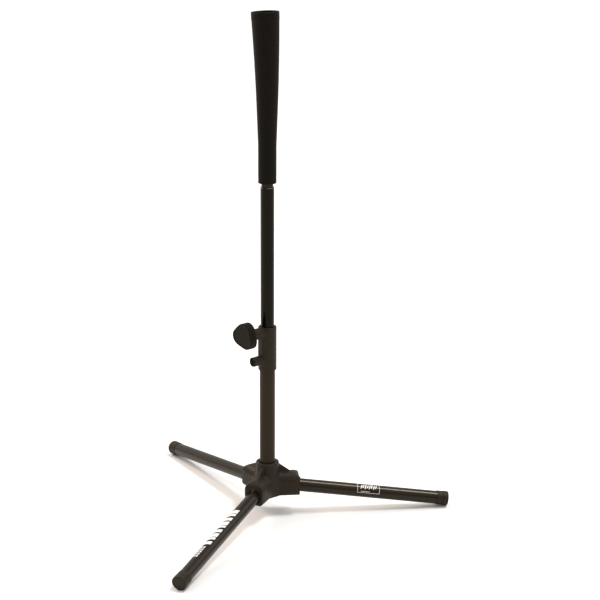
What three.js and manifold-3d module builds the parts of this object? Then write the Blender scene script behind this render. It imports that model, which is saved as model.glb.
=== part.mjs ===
// Adjustable batting tee: a rubber ball cone on a two-stage steel post, held at its height by a knob,
// standing on a moulded hub with three plug-in legs.
// Millimetres, +Z up. The floor is z = 0 and the footprint is centred on the origin.
// Until the last lines, heights are counted from the point where the three leg axes cross the post axis,
// and leg 1 runs along +X.
import * as THREE from 'three';
import { mergeVertices } from 'three/addons/utils/BufferGeometryUtils.js';
import Module from 'manifold-3d';

const wasm = await Module();
wasm.setup();

// ---- Driving dimensions ----
const FIT = 0.3;                 // radial gap between pieces that are pushed together
const SLIDE = 0.5;               // radial gap of the upper tube in the lower one
const PAST = 1;                  // how far a cutting or joining shape runs past a face
const MOUTH_EDGE = 1;            // chamfer at the mouth of a bore

// Steel tubes
const LOWER_OD = 25.4;
const LOWER_ID = LOWER_OD - 2.4;
const UPPER_OD = LOWER_ID - 2 * SLIDE;
const UPPER_WALL = 1.2;
const UPPER_LENGTH = 300;
const UPPER_TOP = 507.5;         // top end of the upper tube at rest
const LEG_OD = 22.0;
const LEG_WALL = 1.2;
const LEG_SLOPE = THREE.MathUtils.degToRad(7.85);
const LEG_REACH = 314.6;         // along a leg, from the post axis to the outer face of its cap
const LEG_COUNT = 3;

// Hub
const ARM_RADIUS = LEG_OD / 2 + 5.5; // half width of an arm, and the radius of its round top and bottom
const ARM_TOP_CENTRE = 4.5;
const ARM_BOTTOM_CENTRE = -4.0;
const ARM_END = 54;
const ARM_END_TOP = 11;          // height where the arm's rounded nose turns into its flat end
const NOSE_LENGTH = 16;
const WEB_RADIUS = 14;           // concave blend between two arms, seen from above
const WEB_HALF_HEIGHT = 9;
const BOSS_TOP = 41;
const BOSS_TOP_RADIUS = LOWER_OD / 2 + 4.7;
const BOSS_RADIUS = LOWER_OD / 2 + 6.8;
const BOSS_DRAFT_END = 30;
const BOSS_LIP = 1.5;
const TUBE_SEAT = -8;            // bottom end of the lower tube
const SOCKET_START = LOWER_OD / 2 + 3; // inner end of a leg socket, along the leg
const RIB_THICKNESS = 3.2;
const RIB_START = [15, 36.5];    // distance from the axis and height of the rib's upper end
const RIB_END = [33.5, 22];
const BOLT_RADIUS = 3;
const BOLT_HEAD_RADIUS = 5.5;
const BOLT_HEAD_HEIGHT = 4;
const WASHER_RADIUS = 7.5;
const WASHER_THICKNESS = 1.2;
const TUBE_PLUG_HEIGHT = 20;
const TUBE_PLUG_ROOF = 2;        // closed top of the plug, over the bolt hole
const BOLT_IN_PLUG = 15;
const BOLT_POCKET_DEPTH = 6.5;

// Height collar and clamp
const COLLAR_BOTTOM = 203.2;
const COLLAR_TOP = 277.5;
const COLLAR_OD = LOWER_OD + 5;
const COLLAR_GRIP = 45;          // length of the lower tube inside the collar
const COLLAR_EDGE = 1.2;
const BOSS_ANGLE = THREE.MathUtils.degToRad(215.6);
const CLAMP_BOSS_RADIUS = 7.6;
const CLAMP_BOSS_END = 32;       // from the post axis
const SPINE_HALF_WIDTH = 5.2;    // raised strip that joins the two bosses
const SPINE_RISE = 0.7;
const SCREW_HEIGHT = 221.5;
const SCREW_SHANK = 2.2;
const SCREW_HEAD_HEIGHT = 2.2;
const SCREW_HEAD_RISE = 0.8;     // height of the head's domed edge
const SCREW_HEAD_INSET = 1.2;    // and how far it draws in
const SCREW_POCKET_RADIUS = CLAMP_BOSS_RADIUS - 1.6;
const SCREW_HEAD = SCREW_POCKET_RADIUS - 1;
const SCREW_POCKET_DEPTH = 3.2;
const SCREW_SLOT = 1.4;
const SCREW_SLOT_LENGTH = SCREW_HEAD + 0.5;
const SCREW_SLOT_DEPTH = 1;
const STUD_IN_KNOB = 9;
const PAD_THICKNESS = 2.5;
const INSERT_RADIUS = CLAMP_BOSS_RADIUS - 2.4;
const PAD_RADIUS = INSERT_RADIUS - 1.4;
const STUD_RADIUS = INSERT_RADIUS - 2.2;
const INSERT_LENGTH = 10;
const KNOB_BACK = 40;            // from the post axis
const KNOB_THICKNESS = 11;
const KNOB_MEAN_RADIUS = 22.2;
const KNOB_LOBE = 2.2;           // how far the three corners stand out of the mean circle
const KNOB_EDGE = 2.2;
const KNOB_NECK_RADIUS = 5.5;
const KNOB_NECK_LENGTH = 6;

// Ball cone and its stem
const STEM_OD = UPPER_OD - 2 * UPPER_WALL - 2 * FIT;
const CONE_BOTTOM = 517;
const CONE_TOP = 786;
const CONE_WALL = 3.6;
const CONE_FOOT_RADIUS = STEM_OD / 2 + 5.2;
const CONE_STRAIGHT = 62;        // height of the straight foot
const CONE_THROAT_RADIUS = 21.8; // just under the rim band
const CONE_RIM_RADIUS = 22.15;
const CONE_RIM_HEIGHT = 12;
const CONE_EDGE = 0.8;
const CONE_STEP = 1;             // height of the small step under the rim band
const STEM_WALL = 1.2;
const STEM_IN_CONE = 58;
const STEM_IN_TUBE = 60;
const STOP_HEIGHT = 12;

// Foot caps and plugs
const CAP_LENGTH = 20.3;
const CAP_RADIUS = LEG_OD / 2 + 1.3;
const CAP_SLEEVE_RADIUS = LEG_OD / 2 + 0.95;
const CAP_FLOOR = 3.6;
const CAP_GROOVE_AT = 10;        // from the cap's mouth
const CAP_GROOVE = 0.6;
const CAP_GROOVE_DEPTH = 0.4;
const CAP_MOUTH_EDGE = 0.4;
const CAP_EDGE = 1.2;
const PLUG_FLANGE = 2.5;
const PLUG_LENGTH = 15;

const FACETS = 36;
const FINE = 24;                 // facets of small round pieces

// ---- Materials ----
const finish = (color, roughness, metalness) =>
  new THREE.MeshStandardMaterial({ color, roughness, metalness });
const GLOSS_BLACK = [0x14140f, 0.22, 0.3];
const SATIN_BLACK = [0x2c2721, 0.38, 0.3];
const HUB_PLASTIC = [0x34302a, 0.55, 0.0];
const KNOB_PLASTIC = [0x30302a, 0.45, 0.0];
const RUBBER = [0x1e1e1a, 0.85, 0.0];
const NYLON = [0xd8d4c8, 0.6, 0.0];
const BRASS = [0xb58f45, 0.35, 1.0];
const ZINC = [0x9a9c9e, 0.35, 1.0];
const BLACK_SCREW = [0x1a1a1a, 0.4, 0.8];

// ---- Solid helpers ----
function toManifold(geometry) {
  const bare = geometry.clone();
  bare.deleteAttribute('normal');
  bare.deleteAttribute('uv');
  const merged = mergeVertices(bare, 1e-4);
  const vertProperties = new Float32Array(merged.attributes.position.array);
  const triVerts = new Uint32Array(merged.index.array);
  return new wasm.Manifold(new wasm.Mesh({ numProp: 3, vertProperties, triVerts }));
}

function toGeometry(manifold) {
  const mesh = manifold.getMesh();
  const geometry = new THREE.BufferGeometry();
  geometry.setAttribute('position', new THREE.BufferAttribute(mesh.vertProperties, 3));
  geometry.setIndex(new THREE.BufferAttribute(mesh.triVerts, 1));
  geometry.computeVertexNormals();
  return geometry;
}

const joined = (...geometries) =>
  toGeometry(geometries.map(toManifold).reduce((sum, next) => sum.add(next)));
const cut = (body, ...tools) =>
  toGeometry(tools.map(toManifold).reduce((rest, tool) => rest.subtract(tool), toManifold(body)));
const common = (a, b) => toGeometry(toManifold(a).intersect(toManifold(b)));

// A solid of revolution about +Z. The profile lists [radius, height] from bottom to top on the outside
// and, where the piece is hollow, back down on the inside.
function turned(profile, facets = FACETS) {
  const points = profile.map(([r, z]) => new THREE.Vector2(r, z));
  return new THREE.LatheGeometry(points, facets).rotateX(Math.PI / 2);
}

function pipe(outer, inner, from, to, facets = FACETS) {
  return turned([[inner, from], [outer, from], [outer, to], [inner, to], [inner, from]], facets);
}

function rod(radius, from, to, facets = FACETS) {
  return turned([[0, from], [radius, from], [radius, to], [0, to]], facets);
}

// Chamfers the mouth of a bore in a face at the height top.
function mouthCutter(bore, top) {
  return turned([
    [0, top - MOUTH_EDGE],
    [bore, top - MOUTH_EDGE],
    [bore + 2 * MOUTH_EDGE, top + MOUTH_EDGE],
    [0, top + MOUTH_EDGE],
  ]);
}

// The same pieces with their axis along +X.
const alongX = (geometry) => geometry.rotateY(Math.PI / 2);

// An outline in the plane of distance and height, given its thickness about that plane.
function plate(shape, thickness, segments = 12) {
  const options = { depth: thickness, bevelEnabled: false, curveSegments: segments };
  return new THREE.ExtrudeGeometry(shape, options)
    .translate(0, 0, -thickness / 2)
    .rotateX(Math.PI / 2);
}

function addPart(group, name, geometry, [color, roughness, metalness]) {
  const mesh = new THREE.Mesh(geometry, finish(color, roughness, metalness));
  mesh.name = name;
  group.add(mesh);
  return mesh;
}

// ---- Hub ----
// One arm: an oblong bar along +X, with a nose that rounds down to its flat end.
function hubArm() {
  const section = new THREE.Shape();
  section.absarc(0, ARM_TOP_CENTRE, ARM_RADIUS, 0, Math.PI, false);
  section.absarc(0, ARM_BOTTOM_CENTRE, ARM_RADIUS, Math.PI, 2 * Math.PI, false);
  const bar = new THREE.ExtrudeGeometry(section, { depth: ARM_END, bevelEnabled: false, curveSegments: 14 })
    .rotateX(Math.PI / 2)
    .rotateZ(Math.PI / 2);
  const crest = ARM_TOP_CENTRE + ARM_RADIUS + PAST;
  const floor = ARM_BOTTOM_CENTRE - ARM_RADIUS - PAST;
  const side = new THREE.Shape();
  side.moveTo(-PAST, floor);
  side.lineTo(ARM_END, floor);
  side.lineTo(ARM_END, ARM_END_TOP);
  const noseHeight = ARM_TOP_CENTRE + ARM_RADIUS - ARM_END_TOP;
  side.absellipse(ARM_END - NOSE_LENGTH, ARM_END_TOP, NOSE_LENGTH, noseHeight, 0, Math.PI / 2, false);
  side.lineTo(ARM_END - NOSE_LENGTH, crest);
  side.lineTo(-PAST, crest);
  return common(bar, plate(side, 3 * ARM_RADIUS, 8));
}

// The three-pointed web that fills the corners between the arms with concave blends.
function hubWeb() {
  const turn = (2 * Math.PI) / LEG_COUNT;
  const reach = (ARM_RADIUS + WEB_RADIUS) / Math.sin(turn / 2);
  const outer = reach * Math.cos(turn / 2);
  const outline = new THREE.Shape();
  for (let i = 0; i < LEG_COUNT; i += 1) {
    const angle = i * turn;
    for (const side of [-ARM_RADIUS, ARM_RADIUS]) {
      const x = outer * Math.cos(angle) - side * Math.sin(angle);
      const y = outer * Math.sin(angle) + side * Math.cos(angle);
      if (i === 0 && side < 0) outline.moveTo(x, y);
      else outline.lineTo(x, y);
    }
    const middle = angle + turn / 2;
    const centre = [reach * Math.cos(middle), reach * Math.sin(middle)];
    outline.absarc(...centre, WEB_RADIUS, angle - Math.PI / 2, angle + turn + Math.PI / 2, true);
  }
  const height = 2 * WEB_HALF_HEIGHT;
  return new THREE.ExtrudeGeometry(outline, { depth: height, bevelEnabled: false, curveSegments: 8 })
    .translate(0, 0, -WEB_HALF_HEIGHT);
}

function hubRib() {
  const rib = new THREE.Shape();
  rib.moveTo(RIB_START[0], 0);
  rib.lineTo(RIB_END[0], 0);
  rib.lineTo(...RIB_END);
  rib.lineTo(...RIB_START);
  rib.closePath();
  return plate(rib, RIB_THICKNESS);
}

const hubBottom = ARM_BOTTOM_CENTRE - ARM_RADIUS;
const tubeBore = LOWER_OD / 2 + FIT;

function hubBody() {
  const boss = turned([
    [0, hubBottom],
    [BOSS_RADIUS, hubBottom],
    [BOSS_RADIUS, BOSS_DRAFT_END],
    [BOSS_TOP_RADIUS, BOSS_TOP - BOSS_LIP],
    [BOSS_TOP_RADIUS - BOSS_LIP, BOSS_TOP],
    [0, BOSS_TOP],
  ]);
  const pieces = [boss, hubWeb()];
  const cutters = [
    rod(tubeBore, TUBE_SEAT - FIT, BOSS_TOP + PAST),
    mouthCutter(tubeBore, BOSS_TOP),
    rod(BOLT_RADIUS + FIT, hubBottom - PAST, TUBE_SEAT, FINE),
    rod(WASHER_RADIUS + FIT, hubBottom - PAST, hubBottom + BOLT_POCKET_DEPTH, FINE),
  ];
  for (let i = 0; i < LEG_COUNT; i += 1) {
    const angle = (i * 2 * Math.PI) / LEG_COUNT;
    pieces.push(hubArm().rotateZ(angle), hubRib().rotateZ(angle));
    const socket = alongX(rod(LEG_OD / 2 + FIT, SOCKET_START, ARM_END + ARM_RADIUS));
    cutters.push(socket.rotateY(LEG_SLOPE).rotateZ(angle));
  }
  return cut(joined(...pieces), ...cutters);
}

// Bolt with a six-sided head, standing head down on its washer.
function hubBolt() {
  const headBottom = hubBottom + BOLT_POCKET_DEPTH - WASHER_THICKNESS - BOLT_HEAD_HEIGHT - 2 * FIT;
  const headTop = headBottom + BOLT_HEAD_HEIGHT;
  const head = rod(BOLT_HEAD_RADIUS, headBottom, headTop, 6);
  return joined(head, rod(BOLT_RADIUS, headTop - PAST, TUBE_SEAT + BOLT_IN_PLUG, FINE));
}

function addBase(group) {
  addPart(group, 'hub', hubBody(), HUB_PLASTIC);
  const washerTop = hubBottom + BOLT_POCKET_DEPTH - FIT;
  const washer = pipe(WASHER_RADIUS, BOLT_RADIUS + FIT, washerTop - WASHER_THICKNESS, washerTop, FINE);
  addPart(group, 'hub_washer', washer, ZINC);
  addPart(group, 'hub_bolt', hubBolt(), ZINC);

  const plugTop = TUBE_SEAT + TUBE_PLUG_HEIGHT;
  const plug = rod(LOWER_ID / 2 - FIT, TUBE_SEAT, plugTop);
  const boltHole = rod(BOLT_RADIUS + FIT, TUBE_SEAT - PAST, plugTop - TUBE_PLUG_ROOF, FINE);
  addPart(group, 'tube_plug', cut(plug, boltHole), NYLON);

  const tubeTop = COLLAR_BOTTOM + COLLAR_GRIP;
  const tube = pipe(LOWER_OD / 2, LOWER_ID / 2, TUBE_SEAT, tubeTop);
  const screwHole = alongX(rod(SCREW_SHANK + FIT, 0, LOWER_OD, FINE));
  screwHole.rotateZ(BOSS_ANGLE).translate(0, 0, SCREW_HEIGHT);
  addPart(group, 'lower_tube', cut(tube, screwHole), SATIN_BLACK);
}

// ---- Height collar, its screw and the clamp ----
const clampHeight = COLLAR_TOP - CLAMP_BOSS_RADIUS;
const studStart = UPPER_OD / 2 + 2 * FIT + PAD_THICKNESS;

function collarBody() {
  const radius = COLLAR_OD / 2;
  const sleeve = turned([
    [0, COLLAR_BOTTOM],
    [radius, COLLAR_BOTTOM],
    [radius, COLLAR_TOP - COLLAR_EDGE],
    [radius - COLLAR_EDGE, COLLAR_TOP],
    [0, COLLAR_TOP],
  ]);
  const upperBoss = alongX(rod(CLAMP_BOSS_RADIUS, 0, CLAMP_BOSS_END)).translate(0, 0, clampHeight);
  const lowerBoss = alongX(rod(CLAMP_BOSS_RADIUS, 0, CLAMP_BOSS_END)).translate(0, 0, SCREW_HEIGHT);
  const spineLength = radius + SPINE_RISE;
  const spine = new THREE.BoxGeometry(spineLength, 2 * SPINE_HALF_WIDTH, clampHeight - SCREW_HEIGHT);
  spine.translate(spineLength / 2, 0, (clampHeight + SCREW_HEIGHT) / 2);
  const bosses = joined(upperBoss, lowerBoss, spine).rotateZ(BOSS_ANGLE);

  const shoulder = COLLAR_BOTTOM + COLLAR_GRIP + FIT;
  const bore = UPPER_OD / 2 + SLIDE;
  const sideCuts = [
    alongX(rod(PAD_RADIUS + FIT, 0, CLAMP_BOSS_END + PAST, FINE)).translate(0, 0, clampHeight),
    alongX(rod(INSERT_RADIUS + FIT, CLAMP_BOSS_END - INSERT_LENGTH - FIT, CLAMP_BOSS_END + PAST, FINE))
      .translate(0, 0, clampHeight),
    alongX(rod(SCREW_SHANK + FIT, 0, CLAMP_BOSS_END, FINE)).translate(0, 0, SCREW_HEIGHT),
    alongX(rod(SCREW_POCKET_RADIUS, CLAMP_BOSS_END - SCREW_POCKET_DEPTH, CLAMP_BOSS_END + PAST, FINE))
      .translate(0, 0, SCREW_HEIGHT),
  ].map((tool) => tool.rotateZ(BOSS_ANGLE));
  return cut(
    joined(sleeve, bosses),
    rod(tubeBore, COLLAR_BOTTOM - PAST, shoulder),
    rod(bore, shoulder - PAST, COLLAR_TOP + PAST),
    mouthCutter(bore, COLLAR_TOP),
    ...sideCuts,
  );
}

// Pan-head screw along +X, its head outermost, with a crossed recess.
function collarScrew() {
  const headBack = CLAMP_BOSS_END - SCREW_POCKET_DEPTH + FIT;
  const headFront = headBack + SCREW_HEAD_HEIGHT;
  const shankTip = LOWER_ID / 2 + FIT;
  const head = turned([
    [0, headBack],
    [SCREW_HEAD, headBack],
    [SCREW_HEAD, headFront - SCREW_HEAD_RISE],
    [SCREW_HEAD - SCREW_HEAD_INSET, headFront],
    [0, headFront],
  ], FINE);
  const screw = joined(alongX(head), alongX(rod(SCREW_SHANK, shankTip, headBack + PAST, FINE)));
  const slots = [[SCREW_SLOT, SCREW_SLOT_LENGTH], [SCREW_SLOT_LENGTH, SCREW_SLOT]].map(([y, z]) =>
    new THREE.BoxGeometry(2 * SCREW_SLOT_DEPTH, y, z).translate(headFront, 0, 0));
  return cut(screw, ...slots);
}

// The outline of the knob: a circle whose radius swells at three corners.
function knobOutline(inset) {
  const points = [];
  const steps = 48;
  for (let i = 0; i < steps; i += 1) {
    const angle = (i * 2 * Math.PI) / steps;
    const radius = KNOB_MEAN_RADIUS - inset + KNOB_LOBE * Math.cos(3 * angle);
    points.push(new THREE.Vector2(radius * Math.cos(angle), radius * Math.sin(angle)));
  }
  return new THREE.Shape(points);
}

function knobBody() {
  const options = {
    depth: KNOB_THICKNESS - 2 * KNOB_EDGE,
    bevelEnabled: true,
    bevelThickness: KNOB_EDGE,
    bevelSize: KNOB_EDGE,
    bevelSegments: 2,
  };
  // One corner of the knob points level, away from the side where leg 1 stands.
  const disc = new THREE.ExtrudeGeometry(knobOutline(KNOB_EDGE), options)
    .translate(0, 0, KNOB_BACK + KNOB_EDGE)
    .rotateZ(-Math.PI / 2);
  const neckStart = KNOB_BACK - KNOB_NECK_LENGTH;
  const neck = rod(KNOB_NECK_RADIUS, neckStart, KNOB_BACK + PAST, FINE);
  const hole = rod(STUD_RADIUS + FIT, neckStart - PAST, KNOB_BACK + STUD_IN_KNOB + FIT, FINE);
  return alongX(cut(joined(disc, neck), hole));
}

function addClamp(group) {
  addPart(group, 'height_collar', collarBody(), HUB_PLASTIC);
  const side = new THREE.Group();
  side.rotation.z = BOSS_ANGLE;
  group.add(side);

  const screw = addPart(side, 'collar_screw', collarScrew(), BLACK_SCREW);
  screw.position.z = SCREW_HEIGHT;

  const clamp = new THREE.Group();
  clamp.position.z = clampHeight;
  side.add(clamp);
  const insertStart = CLAMP_BOSS_END - INSERT_LENGTH;
  const insert = pipe(INSERT_RADIUS, STUD_RADIUS + FIT, insertStart, CLAMP_BOSS_END, FINE);
  addPart(clamp, 'clamp_insert', alongX(insert), BRASS);
  const padStart = studStart - FIT - PAD_THICKNESS;
  addPart(clamp, 'clamp_pad', alongX(rod(PAD_RADIUS, padStart, padStart + PAD_THICKNESS, FINE)), NYLON);
  const stud = rod(STUD_RADIUS, studStart, KNOB_BACK + STUD_IN_KNOB, FINE);
  addPart(clamp, 'clamp_stud', alongX(stud), ZINC);
  addPart(clamp, 'clamp_knob', knobBody(), KNOB_PLASTIC);
}

// ---- Upper tube and ball cone ----
function addMast(group) {
  const bottom = UPPER_TOP - UPPER_LENGTH;
  const inner = UPPER_OD / 2 - UPPER_WALL;
  addPart(group, 'upper_tube', pipe(UPPER_OD / 2, inner, bottom, UPPER_TOP), GLOSS_BLACK);
  const plug = turned([
    [0, bottom - FIT - PLUG_FLANGE],
    [UPPER_OD / 2, bottom - FIT - PLUG_FLANGE],
    [UPPER_OD / 2, bottom - FIT],
    [inner - FIT, bottom - FIT],
    [inner - FIT, bottom + PLUG_LENGTH],
    [0, bottom + PLUG_LENGTH],
  ]);
  addPart(group, 'upper_tube_plug', plug, RUBBER);
  const stopTop = UPPER_TOP - STEM_IN_TUBE - FIT;
  addPart(group, 'stem_stop', rod(inner - FIT, stopTop - STOP_HEIGHT, stopTop), NYLON);
}

function coneBody() {
  const taperStart = CONE_BOTTOM + CONE_STRAIGHT;
  const rimBottom = CONE_TOP - CONE_RIM_HEIGHT;
  const stemHole = STEM_OD / 2 + FIT;
  const stemTop = CONE_BOTTOM + STEM_IN_CONE + FIT;
  return turned([
    [stemHole, CONE_BOTTOM],
    [CONE_FOOT_RADIUS - CONE_EDGE, CONE_BOTTOM],
    [CONE_FOOT_RADIUS, CONE_BOTTOM + CONE_EDGE],
    [CONE_FOOT_RADIUS, taperStart],
    [CONE_THROAT_RADIUS, rimBottom - CONE_STEP],
    [CONE_RIM_RADIUS, rimBottom],
    [CONE_RIM_RADIUS, CONE_TOP - CONE_EDGE],
    [CONE_RIM_RADIUS - CONE_EDGE, CONE_TOP],
    [CONE_RIM_RADIUS - CONE_WALL, CONE_TOP],
    [CONE_THROAT_RADIUS - CONE_WALL, rimBottom],
    [CONE_FOOT_RADIUS - CONE_WALL, taperStart],
    [CONE_FOOT_RADIUS - CONE_WALL, stemTop],
    [stemHole, stemTop],
    [stemHole, CONE_BOTTOM],
  ]);
}

function addTopper(group) {
  addPart(group, 'ball_cone', coneBody(), RUBBER);
  const stemBottom = UPPER_TOP - STEM_IN_TUBE;
  const stem = pipe(STEM_OD / 2, STEM_OD / 2 - STEM_WALL, stemBottom, CONE_BOTTOM + STEM_IN_CONE);
  addPart(group, 'cone_stem', stem, SATIN_BLACK);
}

// ---- Legs ----
// Rubber cap along +X, its mouth towards the hub.
function footCap() {
  const mouth = LEG_REACH - CAP_LENGTH;
  const groove = mouth + CAP_GROOVE_AT;
  const bore = LEG_OD / 2 + FIT;
  const seat = LEG_REACH - CAP_FLOOR;
  return alongX(turned([
    [0, seat],
    [bore, seat],
    [bore, mouth],
    [CAP_SLEEVE_RADIUS - CAP_MOUTH_EDGE, mouth],
    [CAP_SLEEVE_RADIUS, mouth + CAP_MOUTH_EDGE],
    [CAP_SLEEVE_RADIUS, groove],
    [CAP_SLEEVE_RADIUS - CAP_GROOVE_DEPTH, groove + CAP_GROOVE],
    [CAP_RADIUS, groove + 2 * CAP_GROOVE],
    [CAP_RADIUS, LEG_REACH - CAP_EDGE],
    [CAP_RADIUS - CAP_EDGE, LEG_REACH],
    [0, LEG_REACH],
  ]));
}

function addLeg(group, number) {
  const turn = new THREE.Group();
  turn.rotation.z = ((number - 1) * 2 * Math.PI) / LEG_COUNT;
  const tilt = new THREE.Group();
  tilt.rotation.y = LEG_SLOPE;
  turn.add(tilt);
  group.add(turn);
  const inner = LEG_OD / 2 - LEG_WALL;
  const tube = pipe(LEG_OD / 2, inner, SOCKET_START + FIT, LEG_REACH - CAP_FLOOR - FIT);
  addPart(tilt, `leg_tube_${number}`, alongX(tube), SATIN_BLACK);
  addPart(tilt, `foot_cap_${number}`, footCap(), RUBBER);
}

// ---- Assembly ----
const tee = new THREE.Group();
addBase(tee);
addClamp(tee);
addMast(tee);
addTopper(tee);
for (let number = 1; number <= LEG_COUNT; number += 1) addLeg(tee, number);

// Stand the tee on the floor with its footprint centred.
tee.updateMatrixWorld(true);
const box = new THREE.Box3().setFromObject(tee, true);
const centre = box.getCenter(new THREE.Vector3());
tee.position.set(-centre.x, -centre.y, -box.min.z);

const part = new THREE.Group();
part.add(tee);

export default part;
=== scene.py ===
"""Adjustable batting tee: the smooth visible pieces and their finishes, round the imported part.

Shapes are worked out in millimetres, in a frame of their own each: the post's frame has its origin where
the three leg axes cross the post axis, the clamp's frame has x out along the clamp screw, and a leg's frame
has x out along that leg. They are set down in metres in the part's frame.
"""

import math

import bpy
import numpy as np
from mathutils import Matrix, Vector


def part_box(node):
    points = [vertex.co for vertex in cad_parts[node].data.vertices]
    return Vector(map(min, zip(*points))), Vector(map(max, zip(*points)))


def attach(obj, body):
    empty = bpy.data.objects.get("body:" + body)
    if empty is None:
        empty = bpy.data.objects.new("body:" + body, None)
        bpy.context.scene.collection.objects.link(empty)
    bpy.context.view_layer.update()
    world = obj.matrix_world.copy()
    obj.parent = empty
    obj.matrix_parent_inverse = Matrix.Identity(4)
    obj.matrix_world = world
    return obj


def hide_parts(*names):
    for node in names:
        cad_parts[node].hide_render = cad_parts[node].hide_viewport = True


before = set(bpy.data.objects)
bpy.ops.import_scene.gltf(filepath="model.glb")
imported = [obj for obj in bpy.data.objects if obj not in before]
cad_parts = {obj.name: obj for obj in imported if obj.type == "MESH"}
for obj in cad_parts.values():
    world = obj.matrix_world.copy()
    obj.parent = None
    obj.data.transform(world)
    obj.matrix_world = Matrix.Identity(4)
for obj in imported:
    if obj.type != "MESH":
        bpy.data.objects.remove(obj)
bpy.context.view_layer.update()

# ---- Sizes, in millimetres ----
MM = 0.001
TUBE_SEAT = -8.0  # bottom end of the lower tube, from the crossing of the leg axes
LEG_SLOPE = math.radians(7.85)
LEG_TURN = 2 * math.pi / 3
CLAMP_ANGLE = math.radians(215.6)

POST_RADIUS = 12.9
POST_INNER = 11.5
POST_TOP = 248.2
MAST_RADIUS = 11.2
MAST_INNER = 9.8
MAST_BOTTOM = 207.5
MAST_TOP = 510.5
STEM_RADIUS = 9.5
STEM_INNER = 8.3
STEM_BOTTOM = 447.5
STEM_TOP = 575.0
LEG_RADIUS = 11.2
LEG_INNER = 9.8
LEG_START = 16.0
LEG_END = 310.7

ARM_HALF_WIDTH = 16.5
ARM_FOOT = -21.35
ARM_FOOT_EDGE = 6.5  # radius of the belly's corners
ARM_CREST = 18.9
ARM_ROOF = 17.9  # radius of the roof's arch
ARM_END = 54.0
NOSE_LENGTH = 16.0
NOSE_HEIGHT = 10.0
NOSE_FOOT = 8.9
BOSS_TOP = 38.0
BOSS_RADIUS = 20.2
BOSS_DRAFT = 0.9
BOSS_DRAFT_FROM = 30.0
TUBE_BORE = 13.1
LEG_BORE = 11.5
SOCKET_START = 15.7
WEB_FILLET = 14.0
WEB_END = 48.0
WEB_TOP = 8.5
WEB_RISE = 0.55  # how steeply the web climbs towards the boss, inside WEB_RISE_FROM
WEB_RISE_FROM = 24.0
WEB_LEVEL = 0.88  # turns a height over that climb into a distance from it
WEB_FOOT = -15.0
BOSS_FILLET = 4.5
RIB_HALF_WIDTH = 1.7
RIB_START = 5.0
RIB_POINT = (16.0, 36.0)  # distance from the post axis and height of a point on the rib's edge
RIB_RUN = 22.0
RIB_DROP = 16.2  # how far the edge falls over RIB_RUN
POCKET_RADIUS = 7.8
POCKET_ROOF = -14.0
BOLT_BORE = 3.3

COLLAR_BOTTOM = 203.2
COLLAR_TOP = 277.5
COLLAR_RADIUS = 15.2
COLLAR_SHOULDER = 248.5
COLLAR_BORE = 11.5
CLAMP_HEIGHT = 269.9
SCREW_HEIGHT = 221.5
LOWER_BOSS = 7.9
UPPER_BOSS = 9.3
UPPER_BOSS_HEIGHT = 268.2
CLAMP_BOSS_END = 32.0
SPINE_HALF_WIDTH = 5.2
SPINE_REACH = 15.9
STUD_BORE = 4.1
INSERT_BORE = 5.5
INSERT_DEPTH = 10.3
INSERT_RADIUS = 5.2
INSERT_INNER = 3.3
INSERT_START = 22.0
SCREW_BORE = 2.5
SCREW_POCKET = 6.0
SCREW_POCKET_DEPTH = 3.2

SCREW_START = 11.8
SCREW_SHANK = 2.2
SCREW_SHANK_END = 30.0  # inside the head
SCREW_HEAD = 5.0
SCREW_HEAD_BACK = 29.1
SCREW_HEAD_FRONT = 31.3
RECESS_HALF_WIDTH = 0.7
RECESS_REACH = 2.75
RECESS_FLOOR = 30.3

KNOB_NECK = 5.5
KNOB_NECK_END = 34.0
KNOB_HOLE = 3.3
KNOB_HOLE_START = 42.0
KNOB_HOLE_END = 49.3
KNOB_BACK = 40.0
KNOB_FRONT = 53.5
KNOB_RADIUS = 20.8
KNOB_LIP = 3.0  # width of the raised rim on the front
KNOB_DISH = 0.4
KNOB_LOBE = 2.1
KNOB_SPREAD = 1.12  # how many times wider the disc is made in y
KNOB_TURN = math.radians(195.0)
LOBE_START = 7.0  # the lobes and the spread grow from none here to full over LOBE_RUN
LOBE_RUN = 12.0
KNOB_SEGMENTS = 192

STUD_START = 14.4
STUD_END = 49.0
STUD_RADIUS = 3.0
STUD_CHAMFER = 0.8
THREAD_DEPTH = 0.55
STUD_SEGMENTS = 48

CONE_LEAN = 2.9  # how far the cone bows over at LEAN_SPAN above LEAN_START
LEAN_START = 630.0
LEAN_SPAN = 145.0
LEAN_HEADING = math.radians(175.612)

tube_low, tube_high = (np.array(corner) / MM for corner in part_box("lower_tube"))
tube_middle = (tube_low + tube_high) / 2
CROSSING = np.array([tube_middle[0], tube_middle[1], tube_low[2] - TUBE_SEAT])


# ---- Frames ----
def turned_about_z(angle):
    c, s = math.cos(angle), math.sin(angle)
    return np.array([[c, -s, 0.0], [s, c, 0.0], [0.0, 0.0, 1.0]])


def turned_about_y(angle):
    c, s = math.cos(angle), math.sin(angle)
    return np.array([[c, 0.0, s], [0.0, 1.0, 0.0], [-s, 0.0, c]])


POST = np.eye(3)
CLAMP = turned_about_z(CLAMP_ANGLE)


def leg_frame(number):
    return turned_about_z((number - 1) * LEG_TURN) @ turned_about_y(LEG_SLOPE)


# ---- Meshes ----
def new_piece(name, points, faces, frame_axes, material):
    """A mesh from points in millimetres in the frame whose axes are the columns of frame_axes."""
    mesh = bpy.data.meshes.new(name)
    world = (np.asarray(points) @ frame_axes.T + CROSSING) * MM
    mesh.from_pydata(world.tolist(), [], [list(face) for face in faces])
    mesh.polygons.foreach_set("use_smooth", np.ones(len(mesh.polygons), dtype=bool))
    mesh.materials.append(material)
    mesh.update()
    piece = bpy.data.objects.new(name, mesh)
    bpy.context.scene.collection.objects.link(piece)
    return piece


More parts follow.
